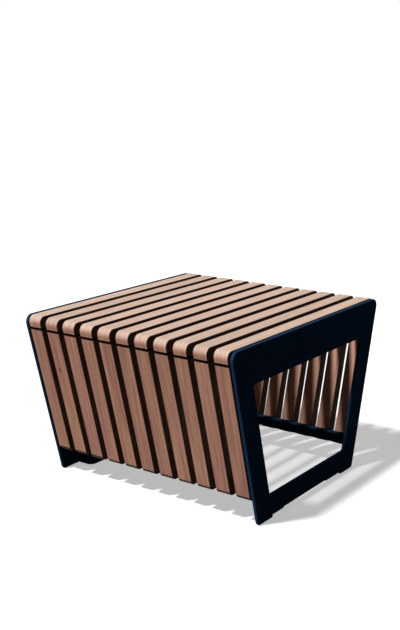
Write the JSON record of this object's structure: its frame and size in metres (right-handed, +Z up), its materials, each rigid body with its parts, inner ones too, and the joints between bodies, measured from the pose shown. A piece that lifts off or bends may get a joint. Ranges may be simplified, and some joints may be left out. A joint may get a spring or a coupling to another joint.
{
  "type": "slatted stool",
  "caption": "Low outdoor stool with wooden slats wrapped over the front, top and back between trapezoid steel side frames with open windows.",
  "frame": {"origin": "on the floor, under the centre of the stool", "axes": "+X across the width from the left to the right side frame, +Y from front to back along the top slats, +Z up"},
  "size_m": [0.634, 0.6984, 0.45],
  "materials": {
    "hardwood": "planed and oiled hardwood, fine straight grain, matt",
    "powder_coated_steel": "dark blue-black powder coat, fine texture, satin",
    "blackened_steel": "black zinc-flake coated wood screws, dull"
  },
  "bodies": {
    "root": {"back_corner_rail": "powder_coated_steel", "back_left_anchor_bracket": "powder_coated_steel", "back_lower_rail": "powder_coated_steel", "back_lower_screws": "blackened_steel", "back_right_anchor_bracket": "powder_coated_steel", "back_seat_screws": "blackened_steel", "back_slat_01": "hardwood", "back_slat_02": "hardwood", "back_slat_03": "hardwood", "back_slat_04": "hardwood", "back_slat_05": "hardwood", "back_slat_06": "hardwood", "back_slat_07": "hardwood", "back_slat_08": "hardwood", "back_slat_09": "hardwood", "back_slat_10": "hardwood", "back_slat_11": "hardwood", "back_upper_screws": "blackened_steel", "front_corner_rail": "powder_coated_steel", "front_left_anchor_bracket": "powder_coated_steel", "front_lower_rail": "powder_coated_steel", "front_lower_screws": "blackened_steel", "front_right_anchor_bracket": "powder_coated_steel", "front_seat_screws": "blackened_steel", "front_slat_01": "hardwood", "front_slat_02": "hardwood", "front_slat_03": "hardwood", "front_slat_04": "hardwood", "front_slat_05": "hardwood", "front_slat_06": "hardwood", "front_slat_07": "hardwood", "front_slat_08": "hardwood", "front_slat_09": "hardwood", "front_slat_10": "hardwood", "front_slat_11": "hardwood", "front_upper_screws": "blackened_steel", "left_side_frame": "powder_coated_steel", "right_side_frame": "powder_coated_steel", "top_slat_01": "hardwood", "top_slat_02": "hardwood", "top_slat_03": "hardwood", "top_slat_04": "hardwood", "top_slat_05": "hardwood", "top_slat_06": "hardwood", "top_slat_07": "hardwood", "top_slat_08": "hardwood", "top_slat_09": "hardwood", "top_slat_10": "hardwood", "top_slat_11": "hardwood"}
  },
  "joints": []
}
